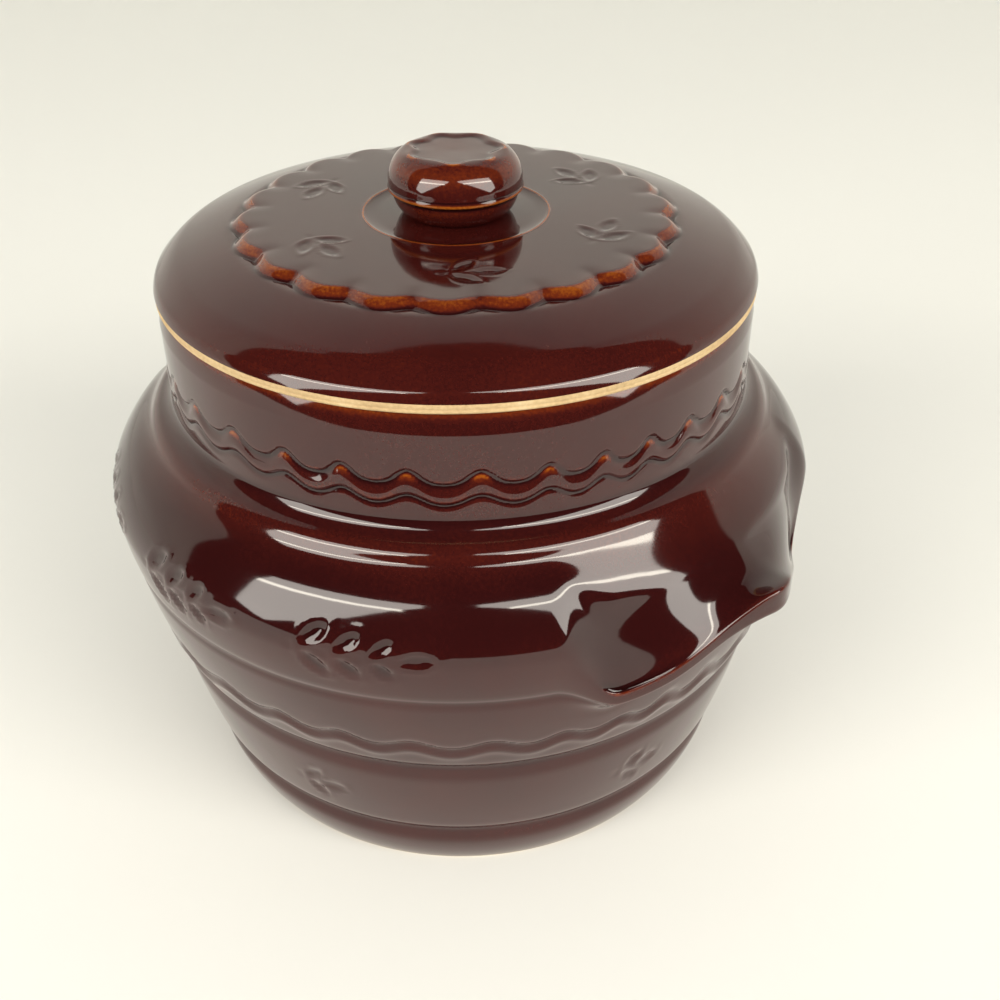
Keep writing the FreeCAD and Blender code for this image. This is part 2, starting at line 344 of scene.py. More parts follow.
def crest_tongues(angle, height):
    """1 on the short tongues under the crests of the collar's wave, where the glaze breaks to amber."""
    wave = collar_wave(angle)
    crest = smoothstep(0.1, 0.95, wave)
    return crest * dip(height - (UPPER_WAVE_Z + UPPER_WAVE_RISE * wave) + 1.5, 1.0)

print("waves round the collar", COLLAR_WAVES, "and round the belly", BELLY_WAVES)

# %% [markdown]
# ## Leaf sprigs
#
# The shoulder and the lower band carry pressed ornament. Here it is a plain leaf sprig: a stem with
# paired oval leaves, pressed into the wet clay. A leaf is a pointed oval dip with a low rim round it.

# %% Leaf sprigs
def leaf(across, along, centre, turn_degrees, length, width):
    """A pressed leaf: -1 at the middle of a pointed oval, and a low rim just outside its edge."""
    turn_angle = math.radians(turn_degrees)
    x = across - centre[0]
    y = along - centre[1]
    u = (x * math.cos(turn_angle) + y * math.sin(turn_angle)) / (length * 0.5)
    v = (-x * math.sin(turn_angle) + y * math.cos(turn_angle)) / (width * 0.5)
    reach = np.sqrt(np.abs(u) ** 2.0 + np.abs(v) ** 2.0 * (1.0 + 0.8 * u**2))
    hollow = -(1.0 - smoothstep(0.45, 1.0, reach))
    rim = 0.28 * dip(reach - 1.16, 0.16)
    return hollow + rim

def sprig(across, along, pairs, leaf_length, leaf_width, spacing, lean):
    """A stem along the surface with pairs of leaves and one at its tip, in the surface's own millimetres."""
    total = (pairs + 0.4) * spacing
    stem_line = along - 0.06 * across**2 / total
    on_stem = smoothstep(-0.5 * total - 1.0, -0.5 * total + 2.0, across)
    on_stem = on_stem * (1.0 - smoothstep(0.5 * total - 3.0, 0.5 * total, across))
    relief = -0.35 * dip(stem_line, 0.7) * on_stem
    for pair in range(pairs):
        start = -0.5 * total + (pair + 0.45) * spacing
        size = 1.0 - 0.12 * pair
        rise = 0.06 * start**2 / total
        for side in (-1.0, 1.0):
            centre = (start + 0.4 * leaf_length * size, rise + side * 0.42 * leaf_length * size)
            relief = relief + leaf(across, along, centre, side * lean, leaf_length * size, leaf_width * size)
    tip = (0.5 * total + 0.25 * leaf_length, 0.06 * (0.5 * total) ** 2 / total)
    return relief + leaf(across, along, tip, 8.0, leaf_length, leaf_width)

SHOULDER_SPRIG = {"pairs": 3, "leaf_length": 9.5, "leaf_width": 4.6, "spacing": 8.2, "lean": 42.0}
SHOULDER_SPRIGS = (-62.0, -92.0, -122.0, 62.0, 92.0, 122.0)
SHOULDER_SPRIG_Z = 88.5
SHOULDER_SPRIG_R = 91.0
SHOULDER_SPRIG_DEPTH = 0.75
SMALL_SPRIG = {"pairs": 1, "leaf_length": 8.0, "leaf_width": 4.0, "spacing": 7.0, "lean": 42.0}
PANEL_SPRIGS = (-75.0, -15.0, 45.0, 105.0, 165.0, -135.0)
PANEL_SPRIG_Z = 30.5
PANEL_SPRIG_R = 80.0
PANEL_SPRIG_DEPTH = 0.45
SPRIG_FIELD = (26.0, 13.0)
SMALL_FIELD = (16.0, 9.0)

def pressed_sprigs(angle, along, middles, at_radius, field, depth, pattern):
    """Millimetres to move a surface for one pressed sprig at each of the middle angles.

    at_radius turns angles into millimetres. field is how far a sprig reaches across and along.
    """
    relief = 0.0 * along
    for middle in middles:
        across = np.radians(away(angle, middle)) * at_radius
        near = (np.abs(across) < field[0]) & (np.abs(along) < field[1])
        relief = relief + near * depth * sprig(across, along, **pattern)
    return relief

steps = np.linalg.norm(np.diff(outside, axis=0), axis=1)
outside_length = np.concatenate([[0.0], np.cumsum(steps)])

def sprig_relief(angle, outline_length):
    """Millimetres to move the outside outwards for the sprigs on the shoulder and the lower band."""
    shoulder_line, panel_line = np.interp((SHOULDER_SPRIG_Z, PANEL_SPRIG_Z), outside[:, 1], outside_length)
    on_shoulder = pressed_sprigs(
        angle, outline_length - shoulder_line, SHOULDER_SPRIGS, SHOULDER_SPRIG_R, SPRIG_FIELD,
        SHOULDER_SPRIG_DEPTH, SHOULDER_SPRIG,
    )
    on_panel = pressed_sprigs(
        angle, outline_length - panel_line, PANEL_SPRIGS, PANEL_SPRIG_R, SMALL_FIELD,
        PANEL_SPRIG_DEPTH, SMALL_SPRIG,
    )
    return on_shoulder + on_panel

print("sprigs on the shoulder", len(SHOULDER_SPRIGS), "and on the lower band", len(PANEL_SPRIGS))

# %% [markdown]
# ## Lugs
#
# On the real pot each lug is pinched out of the shoulder and flows into it, under one skin of glaze.
# So the lug is not a piece stuck on here: in its sector the pot's own outline is led out along the
# under side, round the lug's edge and back over its hollow top. Thirteen control points say where the
# outline goes at each angle, and a smooth spline through them replaces that stretch of the outline.

# %% Lug outline
LUG_TIP_R = 102.8
LUG_ROOT_R = 90.0
LUG_TIP_Z = 82.8
LUG_END_Z = 67.3
LUG_TIP_ROUND = 4.0
LUG_TIP_THICK = 8.0
LUG_THICK = 5.4
LUG_JOINT_Z = 98.5
LUG_PRESS = 1.5
LUG_UNDER_RUN = (3.0, 38.0)
LUG_STAND = 1.4
LUG_FADE = (23.0, 33.0)
FLANK_SIDE = 25.0
FLANK_WIDTH = 10.0
FLANK_OUT = 3.0
FLANK_UP = 2.2
FAR_FLANK_LOSS = 0.8
CHUTE_START = (-1.1, 0.25)
CHUTE_RUNS = ((0.22, 0.75), (0.48, 1.0), (0.76, 0.55))
CHUTE_END_HOLLOW = -0.4
CHUTE_MIDDLE_HOLLOW = 4.0
CHUTE_WIDTH = 14.0

def spline_weights(knots, where):
    """The matrix that turns values at the knots into a natural cubic spline's values at where.

    Second slopes m at the knots solve the usual tridiagonal system, with m = 0 at both ends.
    """
    count = len(knots)
    gap = np.diff(knots)
    system = np.zeros((count, count))
    right = np.zeros((count, count))
    system[0, 0] = 1.0
    system[-1, -1] = 1.0
    for i in range(1, count - 1):
        system[i, i - 1 : i + 2] = (gap[i - 1], 2.0 * (gap[i - 1] + gap[i]), gap[i])
        right[i, i - 1 : i + 2] = (6.0 / gap[i - 1], -6.0 / gap[i - 1] - 6.0 / gap[i], 6.0 / gap[i])
    second = np.linalg.solve(system, right)
    cell = np.clip(np.searchsorted(knots, where, side="right") - 1, 0, count - 2)
    t = (where - knots[cell]) / gap[cell]
    weights = np.zeros((len(where), count))
    rows = np.arange(len(where))
    weights[rows, cell] = 1.0 - t
    weights[rows, cell + 1] = t
    square = gap[cell] ** 2 / 6.0
    weights += (square * ((1.0 - t) ** 3 - (1.0 - t)))[:, None] * second[cell]
    weights += (square * (t**3 - t))[:, None] * second[cell + 1]
    return weights

LUG_LOW_Z = 57.0
LUG_HIGH_Z = 107.0
LUG_CONTROLS = 13
lug_rows = np.where((outside[:, 1] > LUG_LOW_Z) & (outside[:, 1] < LUG_HIGH_Z))[0]
lug_where = outside_length[lug_rows]
lug_knots = np.linspace(lug_where[0], lug_where[-1], LUG_CONTROLS)
lug_base = np.stack([np.interp(lug_knots, outside_length, outside[:, i]) for i in (0, 1)], axis=-1)
lug_weights = spline_weights(lug_knots, lug_where)

def body_radius(height):
    """The plain outline's radius at a height below the shoulder."""
    low = outside[:, 1] < LUG_HIGH_Z
    return np.interp(height, outside[low, 1], outside[low, 0])

def lug_controls(off):
    """Control points (angles, LUG_CONTROLS, 2) of the lug's outline; off is degrees from its middle.

    From below: the belly, the fillet under the lug, its upright outer face, and then a chute that
    runs from the face's top edge up to the shoulder. The chute is hollow in the middle of the lug.
    """
    half = math.acos(LUG_ROOT_R / LUG_TIP_R)
    slant = math.tan(half)
    sideways = np.abs(np.radians(off))
    straight_edge = LUG_ROOT_R / np.cos(np.clip(half - sideways, -1.2, 1.2))
    side = straight_edge * np.sin(sideways)
    edge_x = LUG_TIP_R + LUG_TIP_ROUND * slant - np.hypot(slant * side, LUG_TIP_ROUND * slant)
    flank = dip(side - FLANK_SIDE, FLANK_WIDTH) * (1.0 - FAR_FLANK_LOSS * smoothstep(-3.0, 3.0, off))
    under = LUG_TIP_Z - (LUG_TIP_Z - LUG_END_Z) * smoothstep(*LUG_UNDER_RUN, side) + FLANK_UP * flank
    thick = LUG_THICK + (LUG_TIP_THICK - LUG_THICK) * dip(side, 8.0)
    edge_r = np.maximum(np.hypot(edge_x, side), body_radius(under) + LUG_STAND) + FLANK_OUT * flank
    proud = edge_r - body_radius(under)
    top = under + thick
    root = np.minimum(under - 3.0 - 0.6 * proud, 77.0)
    low_z = lug_base[0, 1]
    start = np.stack([edge_r + CHUTE_START[0], top + CHUTE_START[1]], axis=-1)
    joint = np.stack([body_radius(LUG_JOINT_Z) - LUG_PRESS + 0.0 * off, LUG_JOINT_Z + 0.0 * off], axis=-1)
    chute = joint - start
    inward = np.stack([-chute[:, 1], chute[:, 0]], axis=-1)
    inward /= np.linalg.norm(inward, axis=1, keepdims=True)
    hollow = CHUTE_END_HOLLOW + CHUTE_MIDDLE_HOLLOW * dip(side, CHUTE_WIDTH)
    controls = []

    def place(radius, height):
        controls.append(np.stack([radius + 0.0 * off, height + 0.0 * off], axis=-1))

    place(lug_base[0, 0], low_z)
    place(body_radius(0.5 * (low_z + root)), 0.5 * (low_z + root))
    place(body_radius(root), root)
    place(body_radius(root) + 0.3 * proud, under - 1.5 - 0.15 * proud)
    place(edge_r - 0.5 - 0.1 * proud, under + 0.1 * thick)
    place(edge_r, under + 0.45 * thick)
    place(edge_r - 0.15, under + 0.86 * thick)
    controls.append(start)
    for run, depth in CHUTE_RUNS:
        controls.append(start + run * chute + (hollow * depth)[:, None] * inward)
    controls.append(joint)
    place(lug_base[-1, 0], lug_base[-1, 1])
    return np.stack(controls, axis=1)

def with_lugs(angle, radius, height):
    """Leads the outline round each lug, fading to the plain pot between the LUG_FADE angles."""
    for middle in (0.0, 180.0):
        off = away(angle[0], middle)
        columns = np.where(np.abs(off) < LUG_FADE[1])[0]
        off = off[columns]
        share = 1.0 - smoothstep(*LUG_FADE, np.abs(off))
        plain = lug_base[None]
        controls = plain + share[:, None, None] * (lug_controls(off) - plain)
        moved = lug_weights @ controls
        shaped = moved + (outside[lug_rows][None] - lug_weights @ plain)
        radius[np.ix_(lug_rows, columns)] = shaped[:, :, 0].T
        height[np.ix_(lug_rows, columns)] = shaped[:, :, 1].T
    return radius, height

print("lug tips at radius", LUG_TIP_R, "mm")

# %% [markdown]
# ## The glazed outside of the pot
#
# The pieces above come together: the outline is led round the lugs, and the relief then moves each
# point along the surface's own normal.

# %% Glazed outside
def normals(points):
    """Unit normals of a closed-round grid, from the differences to each point's neighbours."""
    round_way = np.roll(points, -1, axis=1) - np.roll(points, 1, axis=1)
    up_way = np.gradient(points, axis=0)
    normal = np.cross(round_way, up_way)
    return normal / (np.linalg.norm(normal, axis=2, keepdims=True) + 1e-12)

def hand_wobble(angle, height, amount):
    """A thrown pot is never quite round: three slow waves, each a few hundredths of its wall."""
    wobble = np.sin(2.0 * angle + 0.02 * height) + 0.6 * np.sin(3.0 * angle - 0.03 * height + 1.0)
    return amount * (wobble + 0.4 * np.sin(5.0 * angle + 0.05 * height + 2.0))

POT_COLUMNS = 660
POT_WOBBLE = 0.05
SKIN_INSET = 0.13
LUG_THIN_SHARE = 0.3
TONGUE_THIN = 0.32
# Painted shade on the shoulder: how much darker the glaze colour is made on a band there, and the height of
# that band's middle.
SHOULDER_PAINTED_SHADE = 0.14
SHOULDER_PAINTED_SHADE_Z = 97.0
RING_THIN = 0.1
LIP_THIN = 0.22
angle, radius, height = turn(outside, POT_COLUMNS)
radius, height = with_lugs(angle, radius, height)
pot_points = to_points(angle, radius, height)
off_lug = np.minimum(np.abs(away(angle, 0.0)), np.abs(away(angle, 180.0)))
clear_of_lug = smoothstep(20.0, 30.0, off_lug)
lug_band = (outside[:, 1:2] > 60.0) & (outside[:, 1:2] < 104.0)
plain_height = outside[:, 1:2] + 0.0 * angle
relief = groove_relief(angle, plain_height)
relief = np.where(lug_band, relief * clear_of_lug, relief)
relief = relief + sprig_relief(angle, outside_length[:, None] + 0.0 * angle)
relief = relief * smoothstep(0.0, 4.0, outside_length)[:, None]
relief = relief + hand_wobble(angle, plain_height, POT_WOBBLE) - SKIN_INSET
pot_points = pot_points + normals(pot_points) * relief[:, :, None]
pot_depth = glaze_depth(pot_points, LUG_THIN_SHARE + 0.5 * clear_of_lug)
pot_depth = pot_depth - TONGUE_THIN * crest_tongues(angle, plain_height)
# Painted shade: a darker glaze colour on a band round the shoulder, standing in for the dark room that the
# shoulder mirrors.
pot_depth = pot_depth + SHOULDER_PAINTED_SHADE * dip(plain_height - SHOULDER_PAINTED_SHADE_Z, 8.0)
pot_depth = pot_depth - RING_THIN * dip(plain_height - NECK_RING[1], 2.4)
pot_depth = pot_depth - LIP_THIN * smoothstep(RIM_Z - 2.6, RIM_Z - 0.2, plain_height)
pot_glaze = grid_object("pot_glaze", pot_points, pot_depth)

# %% [markdown]
# ## Inside, rim and foot
#
# The inside is glazed too. The rim's top and the foot ring are left bare, or the pot would fuse to
# its lid and to the kiln shelf.

# %% Inside of the pot
MOUTH_LIP = (MOUTH_R, RIM_Z - 1.8)
INSIDE_NECK = (MOUTH_R, 118.0)
INSIDE_SHOULDER = (81.0, 97.5)
INSIDE_BELLY = (BELLY[0] - WALL, BELLY[1])
INSIDE_HEEL = (70.0, 22.0)
FLOOR_EDGE = (56.0, FLOOR_Z)
FLOOR_MIDDLE = (3.0, FLOOR_Z)
DOWN = (0.0, -1.0)
SHOULDER_OUT = (0.7, -0.8)
HEEL_IN = (-0.1, -1.0)
inside = np.vstack([
    eased((MOUTH_R + 1.2, RIM_Z), (-1.0, -0.2), MOUTH_LIP, DOWN, 5),
    straight(MOUTH_LIP, INSIDE_NECK, 8),
    eased(INSIDE_NECK, DOWN, INSIDE_SHOULDER, SHOULDER_OUT, 12),
    eased(INSIDE_SHOULDER, SHOULDER_OUT, INSIDE_BELLY, DOWN, 8),
    eased(INSIDE_BELLY, HEEL_IN, INSIDE_HEEL, HEEL_IN, 24),
    eased(INSIDE_HEEL, HEEL_IN, FLOOR_EDGE, (-1.0, 0.0), 12),
    straight(FLOOR_EDGE, FLOOR_MIDDLE, 14),
    [list(FLOOR_MIDDLE)],
])
angle, radius, height = turn(inside, 240)
INSIDE_WOBBLE = 0.08
inside_points = to_points(angle, radius + hand_wobble(angle, height, INSIDE_WOBBLE), height)
pot_inside = grid_object("pot_inside", inside_points, glaze_depth(inside_points), close_last=True)

# %% Bare rim and foot
def ring_object(name, outline, columns=360):
    """A turned band of bare clay."""
    angle, radius, height = turn(np.array(outline, float), columns)
    return grid_object(name, to_points(angle, radius, height))

LIP_R = COLLAR_R - LIP_INSET
pot_rim_clay = ring_object("pot_rim_clay", [
    (LIP_R - 0.1, RIM_Z - 0.5),
    (LIP_R - 0.15, RIM_Z - 0.1),
    (LIP_R - 0.6, RIM_Z - 0.02),
    (MOUTH_R + 1.6, RIM_Z - 0.02),
    (MOUTH_R + 1.1, RIM_Z - 0.1),
    (MOUTH_R + 1.0, RIM_Z - 0.5),
])
pot_foot_clay = ring_object("pot_foot_clay", [
    (3.0, 1.8),
    (30.0, 1.8),
    (61.4, 1.8),
    (62.4, 1.5),
    (62.7, 0.5),
    (63.2, 0.0),
    (70.2, 0.0),
    (70.9, 0.08),
    (71.2, 0.25),
    (71.3, 0.5),
])

# %% [markdown]
# ## Lid
#
# The lid is a shallow dome. A raised plate with a scalloped edge lies on its crown, and the plate's
# surface dips a little between the scallops. In the grid, the rows near the plate's edge follow the
# scallops, so that the edge stays crisp, and further in they relax to circles. The plate's edge lies
# a little inside the solid's.

# %% Lid sizes
LID_R = COLLAR_R
BARE_H = 2.4
DOME_EDGE = (67.5, RIM_Z + 9.4)
PLATE_R = 54.0
PLATE_FOOT_Z = RIM_Z + 12.9
CROWN_Z = RIM_Z + 13.4
PLATE_TOP_Z = CROWN_Z + 1.6
SCALLOPS = 22
SCALLOP_DEPTH = 2.6
SCALLOP_SOFT = 0.02
SCALLOP_POWER = 0.55
FLUTE_DEPTH = 0.35
KNOB_RING_R = 22.8
PLATE_WOBBLE = 0.04
LID_THICK = 6.2
FLANGE_R = MOUTH_R - 1.6
FLANGE_DEPTH = 7.5
FLANGE_THICK = 5.0

# %% Outline of the lid's glazed top
def scallop_edge(angle):
    """How far the plate's edge lies inside its crests: 0 on a crest, SCALLOP_DEPTH in a cusp."""
    phase = SCALLOPS * 0.5 * angle + 0.25 * np.sin(2.0 * angle + 0.4)
    swell = ((np.cos(phase) ** 2 + SCALLOP_SOFT) / (1.0 + SCALLOP_SOFT)) ** SCALLOP_POWER
    return SCALLOP_DEPTH * (1.0 - swell)

LID_ROLL = (LID_R - 1.2, RIM_Z + 5.0)
LID_ROLL_WAY = (-0.72, 0.8)
DOME_EDGE_WAY = (-1.0, 0.36)
PLATE_FOOT = (PLATE_R + 1.4, PLATE_FOOT_Z)
RISE_FOOT = (PLATE_R + 1.2, PLATE_FOOT_Z + 0.05)
RISE_TOP = (PLATE_R - 2.0, PLATE_TOP_Z)
PLATE_ROWS = 44
dome = np.vstack([
    eased((LID_R, RIM_Z + BARE_H), (-0.26, 1.0), LID_ROLL, LID_ROLL_WAY, 12),
    eased(LID_ROLL, LID_ROLL_WAY, DOME_EDGE, DOME_EDGE_WAY, 20),
    eased(DOME_EDGE, DOME_EDGE_WAY, PLATE_FOOT, (-1.0, 0.2), 18),
    [list(PLATE_FOOT)],
])
plate_rise = eased(RISE_FOOT, (-1.0, 0.4), RISE_TOP, (-1.0, 0.15), 12)
plate_radius = np.linspace(PLATE_R - 2.3, 23.6, PLATE_ROWS)
plate_top = np.stack([plate_radius, np.full(PLATE_ROWS, PLATE_TOP_Z)], axis=-1)
knob_ring = np.array([
    (23.2, PLATE_TOP_Z),
    (KNOB_RING_R, PLATE_TOP_Z + 0.1),
    (22.3, PLATE_TOP_Z - 0.1),
    (21.6, PLATE_TOP_Z - 0.35),
    (19.0, PLATE_TOP_Z - 0.35),
    (15.0, PLATE_TOP_Z - 0.2),
    (10.0, PLATE_TOP_Z - 0.2),
])
lid_outline = np.vstack([dome, plate_rise, plate_top, knob_ring])
print("lid outline points", len(lid_outline))

# %% Glazed top of the lid
PLATE_SPRIGS = (-105.0, -45.0, 15.0, 75.0, 135.0, -165.0)
PLATE_SPRIG_R = 38.0
PLATE_SPRIG_DEPTH = 0.25
LID_THIN_SHARE = 0.9
DOME_THIN = 0.03
EDGE_THIN = 0.24
KNOB_RING_THIN = 0.3
LID_COLUMNS = 880
angle, radius, height = turn(lid_outline, LID_COLUMNS)
row = np.arange(len(lid_outline))[:, None]
on_dome = row < len(dome)
in_share = smoothstep(30.0, PLATE_R - 2.0, radius) * (1.0 - smoothstep(PLATE_R + 1.4, 68.0, radius))
radius = radius - in_share * scallop_edge(angle)
height = np.where(on_dome, np.interp(radius, dome[::-1, 0], dome[::-1, 1]), height)
flute = smoothstep(44.0, PLATE_R - 3.0, radius) * (1.0 - on_dome)
height = height - FLUTE_DEPTH * flute * (scallop_edge(angle) / SCALLOP_DEPTH) ** 2
height = height + hand_wobble(angle, radius, PLATE_WOBBLE)
height = height + pressed_sprigs(
    angle, radius - PLATE_SPRIG_R, PLATE_SPRIGS, PLATE_SPRIG_R, SMALL_FIELD, PLATE_SPRIG_DEPTH, SMALL_SPRIG
)
lid_points = to_points(angle, radius, height)
on_edge = dip(row - len(dome) - 0.5 * len(plate_rise), 5.0)
on_ring = dip(lid_outline[:, 0:1] - KNOB_RING_R, 0.5)
lid_depth = np.minimum(glaze_depth(lid_points, LID_THIN_SHARE), 1.0 - 0.5 * on_edge)
lid_depth = lid_depth - DOME_THIN * on_dome - EDGE_THIN * on_edge - KNOB_RING_THIN * on_ring
lid_glaze = grid_object("lid_glaze", lid_points, lid_depth)

# %% Bare edge, seat and flange of the lid
lid_bare = np.array([
    (FLANGE_R - FLANGE_THICK + 1.2, RIM_Z - FLANGE_DEPTH),
    (FLANGE_R - 1.6, RIM_Z - FLANGE_DEPTH),
    (FLANGE_R - 0.5, RIM_Z - FLANGE_DEPTH + 0.5),
    (FLANGE_R, RIM_Z - FLANGE_DEPTH + 1.6),
    (FLANGE_R, RIM_Z - 0.6),
    (FLANGE_R + 0.3, RIM_Z + 0.02),
    (70.0, RIM_Z + 0.02),
    (LID_R - 0.7, RIM_Z + 0.02),
    (LID_R - 0.3, RIM_Z + 0.15),
    (LID_R - 0.12, RIM_Z + 0.5),
    (LID_R - 0.1, RIM_Z + 0.85),
    (LID_R - 0.3, RIM_Z + 1.05),
    (LID_R - 0.1, RIM_Z + 1.25),
    (LID_R - 0.08, RIM_Z + 2.0),
    (LID_R - 0.1, RIM_Z + BARE_H + 0.1),
])
lid_clay = ring_object("lid_clay", lid_bare, 480)

# %% Glazed hollow under the lid
UNDER_Z = CROWN_Z - LID_THICK
UNDER_FLAT_END = (30.0, UNDER_Z - 0.4)
FLANGE_IN_R = FLANGE_R - FLANGE_THICK
FLANGE_IN_TOP = (FLANGE_IN_R, RIM_Z + 1.5)
under_lid = np.vstack([
    [[0.5, UNDER_Z]],
    straight((2.0, UNDER_Z), UNDER_FLAT_END, 8),
    eased(UNDER_FLAT_END, (1.0, -0.04), FLANGE_IN_TOP, (0.1, -1.0), 14),
    straight(FLANGE_IN_TOP, (FLANGE_IN_R, RIM_Z - 6.4), 6),
    [[FLANGE_IN_R + 1.4, RIM_Z - FLANGE_DEPTH + 0.1]],
])
angle, radius, height = turn(under_lid, 240)
under_points = to_points(angle, radius, height)
lid_inside = grid_object("lid_inside", under_points, glaze_depth(under_points))

# %% [markdown]
# ## Knob
#
# The knob flares up from a narrow foot to a mould line, and its drum rounds over to a shallow dish
# with a lobed edge.

# %% Knob
KNOB_Z = PLATE_TOP_Z

def knob_point(radius, rise):
    """A point of the knob's outline, from its radius and its rise over the plate."""
    return (radius, KNOB_Z + rise)

KNOB_FOOT = knob_point(11.6, -0.3)
KNOB_FLARE = knob_point(15.4, 5.2)
MOULD_LINE = knob_point(16.5, 6.2)
DRUM_FOOT = knob_point(16.35, 7.2)
DRUM = knob_point(16.3, 8.6)
DISH_EDGE = knob_point(11.4, 15.2)
DISH = knob_point(9.0, 14.7)
DISH_MIDDLE = knob_point(0.5, 14.5)
FLARE_WAY = (0.12, 1.0)
DRUM_WAY = (-0.05, 1.0)
DISH_EDGE_WAY = (-1.0, 0.12)
knob_outline = np.vstack([
    eased(KNOB_FOOT, (1.0, 0.35), KNOB_FLARE, FLARE_WAY, 22),
    eased(KNOB_FLARE, FLARE_WAY, MOULD_LINE, (0.6, 1.0), 6),
    eased(MOULD_LINE, (0.3, 1.0), DRUM_FOOT, (-0.3, 1.0), 6),
    eased(DRUM_FOOT, (-0.1, 1.0), DRUM, DRUM_WAY, 6),
    eased(DRUM, DRUM_WAY, DISH_EDGE, DISH_EDGE_WAY, 34),
    eased(DISH_EDGE, DISH_EDGE_WAY, DISH, (-1.0, -0.12), 14),
    straight(DISH, DISH_MIDDLE, 12),
    [list(DISH_MIDDLE)],
])
KNOB_LOBES = 7.0
LOBE_SWELL = 0.8
KNOB_THIN_SHARE = 0.6
KNOB_THIN = 0.03
DRUM_THIN = 0.14
angle, radius, height = turn(knob_outline, 360)
lobe = np.cos(KNOB_LOBES * angle + 0.5 * np.sin(2.0 * angle)) * smoothstep(5.0, 9.0, radius)
lobe = lobe * (1.0 - smoothstep(10.5, 13.5, radius)) * (height > KNOB_Z + 13.0)
radius = radius + LOBE_SWELL * lobe
knob_points = to_points(angle, radius, height)
drum = dip(height - KNOB_Z - 12.6, 2.2) + 0.5 * dip(height - KNOB_Z - 4.6, 1.8)
knob_depth = glaze_depth(knob_points, KNOB_THIN_SHARE) - KNOB_THIN - DRUM_THIN * drum
knob = grid_object("lid_knob_glaze", knob_points, knob_depth, close_last=True)

# %% [markdown]
# ## Materials
#
# Two finishes: the gloss glaze, and the bare fired clay.

# %% Material helpers
def linear(colour):
    """An sRGB hex colour as linear red, green, blue and alpha."""
    parts = [int(colour[i : i + 2], 16) / 255.0 for i in (1, 3, 5)]
    return [p / 12.92 if p <= 0.04045 else ((p + 0.055) / 1.055) ** 2.4 for p in parts] + [1.0]

def add_node(tree, kind, settings=None, **inputs):
    """Adds a node, sets its properties and inputs, and links an input that is given as an output socket.

    An input is named with _ for each space, or by its number, such as _0.
    """
    node = tree.nodes.new(kind)
    for name, value in (settings or {}).items():
        setattr(node, name, value)
    for name, value in inputs.items():
        by_number = name[0] == "_" and name[1:].isdigit()
        socket = node.inputs[int(name[1:]) if by_number else name.replace("_", " ")]
        if isinstance(value, bpy.types.NodeSocket):
            tree.links.new(value, socket)
        else:
            socket.default_value = value
    return node

def new_material(name):
    """A material with an empty node tree."""
    material = bpy.data.materials.new(name)
    material.use_nodes = True
    material.node_tree.nodes.clear()
    return material, material.node_tree

def ramp(tree, value, stops):
    """A colour ramp over value, from (place, hex colour) stops."""
    node = add_node(tree, "ShaderNodeValToRGB", Fac=value)
    elements = node.color_ramp.elements
    elements[0].position, elements[0].color = stops[0][0], linear(stops[0][1])
    elements[1].position, elements[1].color = stops[-1][0], linear(stops[-1][1])
    for place, colour in stops[1:-1]:
        elements.new(place).color = linear(colour)
    return node.outputs["Color"]

def noise(tree, place, size, detail, roughness=0.5):
    """A soft noise between 0 and 1, with grains of about size millimetres."""
    node = add_node(
        tree, "ShaderNodeTexNoise", Vector=place, Scale=1.0 / (size * MM), Detail=detail, Roughness=roughness
    )
    return node.outputs["Fac"]

def scaled(tree, value, amount, shift):
    """value times amount, plus shift."""
    node = add_node(tree, "ShaderNodeMath", {"operation": "MULTIPLY_ADD"}, _0=value, _1=amount, _2=shift)
    return node.outputs[0]

print("material tools: linear, add_node, ramp, noise, scaled")

# %% [markdown]
# ### Red-brown gloss glaze
#
# An iron glaze on stoneware, fired to a smooth glass of IOR about 1.55. Where it is deep it is almost
# black maroon, and where it breaks over an edge the clay shines through as amber, with fine specks of
# iron. The stored depth and a fine noise together pick the colour.

# %% Glaze
SPECK_SIZE = 0.7
SPECK_SHARE = 0.3
CLOUD_SIZE = 18.0
CLOUD_SHARE = 0.16
RIPPLE_SIZE = 5.0
RIPPLE_HEIGHT = 0.2
GLAZE_IOR = 1.55
GLAZE_COLOURS = [
    (0.0, "#ad6a22"),
    (0.14, "#8a4814"),
    (0.28, "#5e230f"),
    (0.42, "#3e130f"),
    (0.60, "#2c0c0c"),
    (1.0, "#190606"),
]

def glaze_material():
    """The gloss glaze: its stored depth, moved a little by fine specks and broad clouds, picks its colour."""
    material, tree = new_material("red_brown_gloss_glaze")
    place = add_node(tree, "ShaderNodeTexCoord").outputs["Object"]
    stored = add_node(tree, "ShaderNodeAttribute", {"attribute_name": "glaze_depth"}).outputs["Fac"]
    specks = noise(tree, place, SPECK_SIZE, 3.0, 0.6)
    clouds = noise(tree, place, CLOUD_SIZE, 2.0)
    specked = scaled(tree, specks, SPECK_SHARE, -0.5 * SPECK_SHARE)
    clouded = scaled(tree, clouds, CLOUD_SHARE, -0.5 * CLOUD_SHARE)
    shift = add_node(tree, "ShaderNodeMath", {"operation": "ADD"}, _0=specked, _1=clouded).outputs[0]
    depth = add_node(tree, "ShaderNodeMath", {"operation": "ADD"}, _0=stored, _1=shift).outputs[0]
    colour = ramp(tree, depth, GLAZE_COLOURS)
    ripple = noise(tree, place, RIPPLE_SIZE, 1.0)
    bump = add_node(tree, "ShaderNodeBump", Height=ripple, Strength=0.05, Distance=RIPPLE_HEIGHT * MM)
    surface = add_node(
        tree,
        "ShaderNodeBsdfPrincipled",
        Base_Color=colour,
        Roughness=0.07,
        IOR=GLAZE_IOR,
        Normal=bump.outputs["Normal"],
    )
    add_node(tree, "ShaderNodeOutputMaterial", Surface=surface.outputs[0])
    return material

glaze = glaze_material()
print("material", glaze.name)

# %% [markdown]
# ### Bare stoneware
#
# Fired clay with no glaze: cream, dry and fine-grained.

